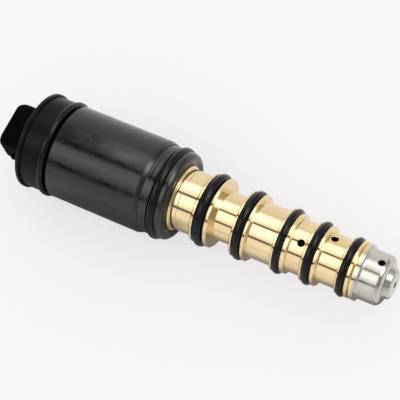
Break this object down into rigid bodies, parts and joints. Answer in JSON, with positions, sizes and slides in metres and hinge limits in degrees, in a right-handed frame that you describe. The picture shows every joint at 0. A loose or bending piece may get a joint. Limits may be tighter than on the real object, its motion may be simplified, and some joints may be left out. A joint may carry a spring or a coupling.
{
  "type": "compressor control valve",
  "caption": "Solenoid control valve: plug socket, black coil case, stepped brass sleeve with ring seals and ports, drilled steel end cap.",
  "frame": {"origin": "centre of the coil case, the cylinder held by the compressor's bore", "axes": "+X along the valve's axis towards the drilled end cap, +Z through the connector's locking ramp"},
  "size_m": [0.1098, 0.0262, 0.0262],
  "materials": {
    "cap_plastic": "fine moulded grain",
    "blade_metal": "tinned",
    "seal_rubber": "moulded, slightly glossy",
    "case_steel": "black coated, satin",
    "plate_steel": "turned",
    "bobbin_plastic": "moulded",
    "winding_copper": "enamelled copper wire",
    "tube_steel": "drawn",
    "core_steel": "turned",
    "nose_metal": "black coated, satin",
    "sleeve_brass": "fine turned, bright",
    "seat_brass": "turned",
    "cap_steel": "drawn stainless, satin",
    "plunger_steel": "ground",
    "rod_steel": "ground",
    "spool_steel": "ground",
    "spring_steel": "drawn wire"
  },
  "bodies": {
    "housing": {"connector_cap": "cap_plastic", "terminal_blades": "blade_metal", "rear_seal": "seal_rubber", "coil_case": "case_steel", "pole_plate": "plate_steel", "bobbin": "bobbin_plastic", "coil_winding": "winding_copper", "guide_tube": "tube_steel", "fixed_core": "core_steel", "nose_flange": "nose_metal", "front_seal": "seal_rubber", "valve_sleeve": "sleeve_brass", "spring_seat": "seat_brass", "end_cap": "cap_steel", "return_spring": "spring_steel", "sleeve_seal_1": "seal_rubber", "sleeve_seal_2": "seal_rubber", "sleeve_seal_3": "seal_rubber", "sleeve_seal_4": "seal_rubber", "sleeve_seal_5": "seal_rubber"},
    "armature": {"plunger": "plunger_steel", "push_rod": "rod_steel", "spool": "spool_steel"}
  },
  "joints": [
    {"name": "armature_slide", "type": "slide", "parent": "housing", "child": "armature", "axis": [1, 0, 0], "range_m": [0, 0.0012], "stiffness_N_per_m": 2000, "springref_m": -0.002, "deforming": ["return_spring"]}
  ]
}
